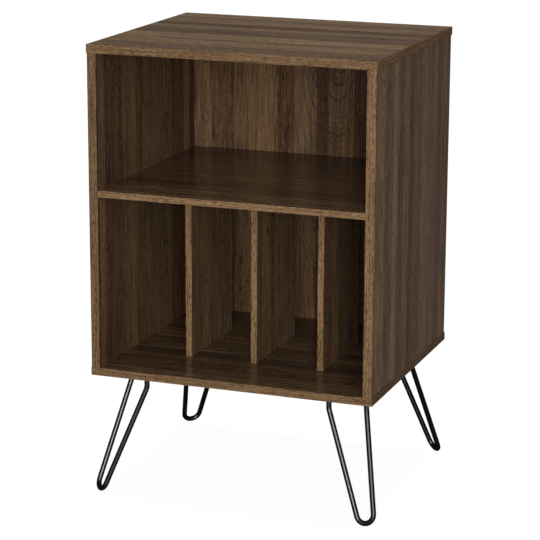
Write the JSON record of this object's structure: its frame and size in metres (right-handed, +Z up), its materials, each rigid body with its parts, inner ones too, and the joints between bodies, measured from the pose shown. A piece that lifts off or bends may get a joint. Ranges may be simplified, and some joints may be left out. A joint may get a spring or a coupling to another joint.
{
  "type": "record storage stand",
  "caption": "record storage stand with an open deck above record slots parted by short dividers, in dark wood-look laminate on splayed black hairpin legs",
  "frame": {"origin": "on the floor, under the middle of the stand's overall plan", "axes": "+Z up, front faces -Y, +X to the right as seen from the front"},
  "size_m": [0.5554, 0.4764, 0.85],
  "materials": {
    "laminate": "satin printed wood-grain laminate on board",
    "edge_band": "satin wood-grain edge banding",
    "black_steel": "satin black powder coat",
    "black_screw": "black oxide",
    "zinc": "zinc plated"
  },
  "bodies": {
    "root": {"top_panel": "laminate", "bottom_panel": "laminate", "left_side_panel": "laminate", "right_side_panel": "laminate", "middle_shelf": "laminate", "divider_1": "laminate", "divider_2": "laminate", "divider_3": "laminate", "back_panel": "laminate", "top_band_front": "edge_band", "top_band_left": "edge_band", "top_band_right": "edge_band", "bottom_band_front": "edge_band", "bottom_band_left": "edge_band", "bottom_band_right": "edge_band", "left_side_band": "edge_band", "right_side_band": "edge_band", "shelf_band": "edge_band", "divider_band_1": "edge_band", "divider_band_2": "edge_band", "divider_band_3": "edge_band", "leg_front_left": "black_steel", "leg_front_right": "black_steel", "leg_rear_left": "black_steel", "leg_rear_right": "black_steel", "leg_screw_front_left_1": "black_screw", "leg_screw_front_left_2": "black_screw", "leg_screw_front_left_3": "black_screw", "leg_screw_front_right_1": "black_screw", "leg_screw_front_right_2": "black_screw", "leg_screw_front_right_3": "black_screw", "leg_screw_rear_left_1": "black_screw", "leg_screw_rear_left_2": "black_screw", "leg_screw_rear_left_3": "black_screw", "leg_screw_rear_right_1": "black_screw", "leg_screw_rear_right_2": "black_screw", "leg_screw_rear_right_3": "black_screw", "side_screw_left_front": "zinc", "side_screw_left_rear": "zinc", "side_screw_right_front": "zinc", "side_screw_right_rear": "zinc", "divider_screw_1": "zinc", "divider_screw_2": "zinc", "divider_screw_3": "zinc", "top_cam_bolt_left_front": "zinc", "top_cam_bolt_left_rear": "zinc", "top_cam_bolt_right_front": "zinc", "top_cam_bolt_right_rear": "zinc", "top_cam_nut_left_front": "zinc", "top_cam_nut_left_rear": "zinc", "top_cam_nut_right_front": "zinc", "top_cam_nut_right_rear": "zinc", "shelf_cam_bolt_left_front": "zinc", "shelf_cam_bolt_left_rear": "zinc", "shelf_cam_bolt_right_front": "zinc", "shelf_cam_bolt_right_rear": "zinc", "shelf_cam_nut_left_front": "zinc", "shelf_cam_nut_left_rear": "zinc", "shelf_cam_nut_right_front": "zinc", "shelf_cam_nut_right_rear": "zinc"}
  },
  "joints": []
}
